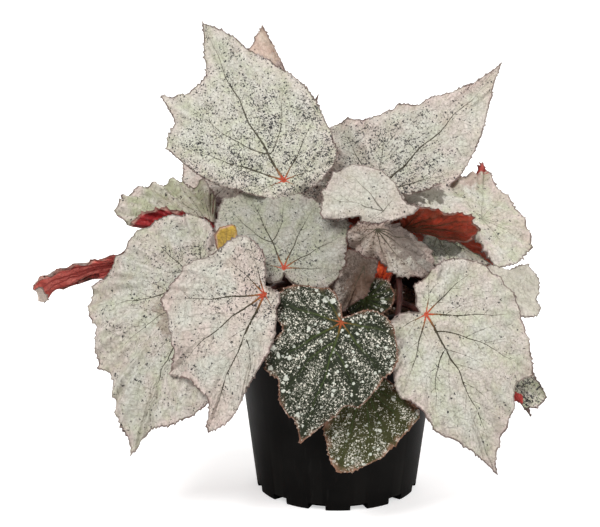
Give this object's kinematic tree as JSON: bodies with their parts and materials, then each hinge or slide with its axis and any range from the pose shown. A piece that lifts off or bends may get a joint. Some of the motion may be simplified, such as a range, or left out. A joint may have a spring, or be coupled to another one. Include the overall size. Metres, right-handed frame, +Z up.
{
  "type": "potted rex begonia",
  "caption": "House plant with large silver, black-speckled, pointed leaves on arching stalks, in a plain round black nursery pot.",
  "frame": {"origin": "middle of the pot's underside, on the surface it stands on", "axes": "+Z up along the pot's axis; the plant's front, the pictured side, faces -Y; +X to the right seen from the front"},
  "size_m": [0.3467, 0.22, 0.3155],
  "materials": {
    "pot_plastic": "black injection-moulded polypropylene, satin",
    "potting_soil": "dark peat and bark potting mix with a little perlite, matt",
    "rhizome_bark": "fleshy creeping stem, brown-green with ringed scars",
    "petiole_skin": "red-brown hairy leaf stalk",
    "silver_leaf": "silver-green living leaf with black specks and dark veins, red underside, satin",
    "dark_leaf": "black-green living leaf with dense silver grain and white spots, red underside, satin",
    "young_leaf": "thin young leaf, glowing orange-red",
    "old_leaf": "small old leaf, turned ochre yellow"
  },
  "bodies": {
    "root": {"pot": "pot_plastic", "soil": "potting_soil", "rhizome": "rhizome_bark", "leaf_upper_left": "silver_leaf", "petiole_upper_left": "petiole_skin", "leaf_upper_right": "silver_leaf", "petiole_upper_right": "petiole_skin", "leaf_centre_top": "silver_leaf", "petiole_centre_top": "petiole_skin", "leaf_centre": "silver_leaf", "petiole_centre": "petiole_skin", "leaf_front_left": "silver_leaf", "petiole_front_left": "petiole_skin", "leaf_left_large": "silver_leaf", "petiole_left_large": "petiole_skin", "leaf_front_dark": "dark_leaf", "petiole_front_dark": "petiole_skin", "leaf_low_dark": "dark_leaf", "petiole_low_dark": "petiole_skin", "leaf_right_large": "silver_leaf", "petiole_right_large": "petiole_skin", "leaf_centre_folded": "silver_leaf", "petiole_centre_folded": "petiole_skin", "leaf_inner_hanging": "silver_leaf", "petiole_inner_hanging": "petiole_skin", "leaf_inner_dark": "dark_leaf", "petiole_inner_dark": "petiole_skin", "leaf_right_turned": "silver_leaf", "petiole_right_turned": "petiole_skin", "leaf_right_mid": "silver_leaf", "petiole_right_mid": "petiole_skin", "leaf_right_inner": "silver_leaf", "petiole_right_inner": "petiole_skin", "leaf_right_back": "silver_leaf", "petiole_right_back": "petiole_skin", "leaf_right_low": "silver_leaf", "petiole_right_low": "petiole_skin", "leaf_left_upper": "silver_leaf", "petiole_left_upper": "petiole_skin", "leaf_far_left": "silver_leaf", "petiole_far_left": "petiole_skin", "leaf_back_left": "silver_leaf", "petiole_back_left": "petiole_skin", "leaf_back_top": "silver_leaf", "petiole_back_top": "petiole_skin", "leaf_young_red": "young_leaf", "petiole_young_red": "petiole_skin", "leaf_old_yellow": "old_leaf", "petiole_old_yellow": "petiole_skin", "leaf_back_low_left": "silver_leaf", "petiole_back_low_left": "petiole_skin", "leaf_back_low_centre": "silver_leaf", "petiole_back_low_centre": "petiole_skin", "leaf_back_low_right": "silver_leaf", "petiole_back_low_right": "petiole_skin", "leaf_back_mid_left": "silver_leaf", "petiole_back_mid_left": "petiole_skin", "leaf_back_mid_right": "silver_leaf", "petiole_back_mid_right": "petiole_skin"}
  },
  "joints": []
}
